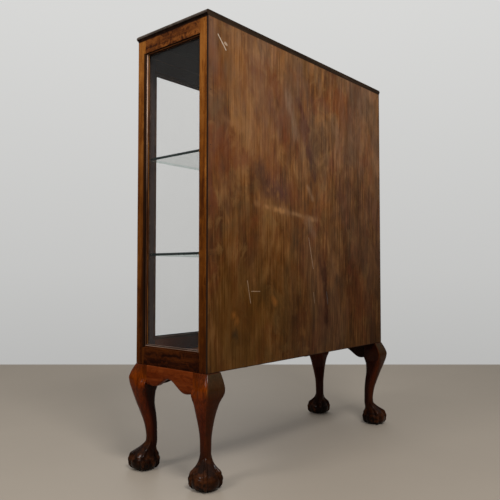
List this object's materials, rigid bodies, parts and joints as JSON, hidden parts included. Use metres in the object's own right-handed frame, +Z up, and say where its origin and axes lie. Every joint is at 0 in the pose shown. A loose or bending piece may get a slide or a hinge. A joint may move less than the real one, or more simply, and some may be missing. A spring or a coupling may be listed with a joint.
{
  "type": "china cabinet",
  "caption": "Tall shallow display cabinet with glazed sides, hinged glass doors, glass shelves and a thin moulded top, on short cabriole legs with ball-and-claw feet and shaped aprons.",
  "frame": {"origin": "on the floor, under the middle of the cabinet", "axes": "+Z up; the doors face -Y; +X is the right-hand side seen from the front"},
  "size_m": [0.9786, 0.3364, 1.274],
  "materials": {
    "carcase_wood": "satin polish on straight-grained orange-brown hardwood",
    "door_wood": "satin polish",
    "stand_wood": "gloss polish, red-brown, dark in the carving",
    "top_wood": "very dark polish",
    "back_ply": "dull stained plywood",
    "inside_wood": "dull dark stain",
    "pane_glass": "clear",
    "shelf_glass": "clear, dark green at the edges",
    "brass": "aged",
    "steel": "dull"
  },
  "bodies": {
    "cabinet": {"apron_front": "stand_wood", "apron_left": "stand_wood", "apron_right": "stand_wood", "back_panel": "back_ply", "bottom_board": "inside_wood", "front_rail_bottom": "carcase_wood", "front_rail_top": "carcase_wood", "hinge_left_lower_post_leaf": "brass", "hinge_left_upper_post_leaf": "brass", "hinge_right_lower_post_leaf": "brass", "hinge_right_upper_post_leaf": "brass", "leg_back_left": "stand_wood", "leg_back_right": "stand_wood", "leg_front_left": "stand_wood", "leg_front_right": "stand_wood", "post_back_left": "carcase_wood", "post_back_right": "carcase_wood", "post_front_left": "carcase_wood", "post_front_right": "carcase_wood", "shelf_lower": "shelf_glass", "shelf_pin_lower_back_left": "brass", "shelf_pin_lower_back_right": "brass", "shelf_pin_lower_front_left": "brass", "shelf_pin_lower_front_right": "brass", "shelf_pin_upper_back_left": "brass", "shelf_pin_upper_back_right": "brass", "shelf_pin_upper_front_left": "brass", "shelf_pin_upper_front_right": "brass", "shelf_upper": "shelf_glass", "side_bead_left": "carcase_wood", "side_bead_right": "carcase_wood", "side_glass_left": "pane_glass", "side_glass_right": "pane_glass", "side_rail_bottom_left": "carcase_wood", "side_rail_bottom_right": "carcase_wood", "side_rail_top_left": "carcase_wood", "side_rail_top_right": "carcase_wood", "top_board": "top_wood"},
    "door_left": {"door_left_bead": "door_wood", "door_left_glass": "pane_glass", "door_left_rail_bottom": "door_wood", "door_left_rail_top": "door_wood", "door_left_stile_hinge": "door_wood", "door_left_stile_meeting": "door_wood", "hinge_left_lower_door_leaf": "brass", "hinge_left_upper_door_leaf": "brass"},
    "door_right": {"door_right_bead": "door_wood", "door_right_glass": "pane_glass", "door_right_rail_bottom": "door_wood", "door_right_rail_top": "door_wood", "door_right_stile_hinge": "door_wood", "door_right_stile_meeting": "door_wood", "hinge_right_lower_door_leaf": "brass", "hinge_right_upper_door_leaf": "brass", "lock_case": "brass"},
    "key": {"key": "steel"},
    "lock_bolt": {"lock_bolt": "steel"},
    "sliding_bolt_top": {"sliding_bolt_top": "brass"},
    "sliding_bolt_bottom": {"sliding_bolt_bottom": "brass"}
  },
  "joints": [
    {"name": "door_left_hinge", "type": "hinge", "parent": "cabinet", "child": "door_left", "pos_m": [-0.44525, -0.15, 0.78], "axis": [0, 0, 1], "range_deg": [-105, 0]},
    {"name": "door_right_hinge", "type": "hinge", "parent": "cabinet", "child": "door_right", "pos_m": [0.44525, -0.15, 0.78], "axis": [0, 0, 1], "range_deg": [0, 105]},
    {"name": "key_turn", "type": "hinge", "parent": "door_right", "child": "key", "pos_m": [0.0135, -0.1465, 0.778], "axis": [0, 1, 0], "range_deg": [0, 180]},
    {"name": "lock_bolt_slide", "type": "slide", "parent": "door_right", "child": "lock_bolt", "axis": [-1, 0, 0], "range_m": [0, 0.008]},
    {"name": "sliding_bolt_top_slide", "type": "slide", "parent": "door_left", "child": "sliding_bolt_top", "axis": [0, 0, 1], "range_m": [0, 0.01]},
    {"name": "sliding_bolt_bottom_slide", "type": "slide", "parent": "door_left", "child": "sliding_bolt_bottom", "axis": [0, 0, -1], "range_m": [0, 0.01]}
  ],
  "couplings": [
    {"joint": "lock_bolt_slide", "follows": "key_turn", "m_per_rad": 0.002546}
  ]
}
